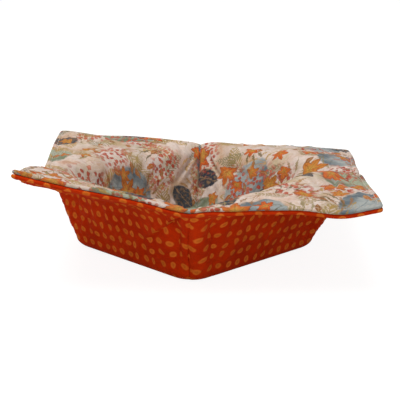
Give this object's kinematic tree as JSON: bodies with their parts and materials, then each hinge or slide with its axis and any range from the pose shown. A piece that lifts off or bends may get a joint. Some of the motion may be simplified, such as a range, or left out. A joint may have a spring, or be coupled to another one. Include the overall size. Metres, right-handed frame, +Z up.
{
  "type": "microwave bowl cozy",
  "caption": "Padded cotton bowl holder: darted square pocket with a flat base, sloping walls and flared corner ears, orange dotted outside and pale autumn leaf print inside.",
  "frame": {"origin": "middle of the base's flat underside, on the table", "axes": "+Z up out of the bowl's opening; the darts lie on the X and Y axes, the one the picture shows in front at -Y, and the ears lie between them"},
  "size_m": [0.2053, 0.198, 0.0691],
  "materials": {
    "orange_cotton": "matte woven cotton with lighter dots",
    "printed_cotton": "matte woven cotton, pale with a leaf print",
    "batting": "soft fleece",
    "orange_thread": "satin sewing thread",
    "cream_thread": "satin sewing thread"
  },
  "bodies": {
    "root": {"outer_cover": "orange_cotton", "outer_batting": "batting", "lining_batting": "batting", "lining": "printed_cotton", "topstitch_outside": "orange_thread", "topstitch_inside": "cream_thread"}
  },
  "joints": []
}
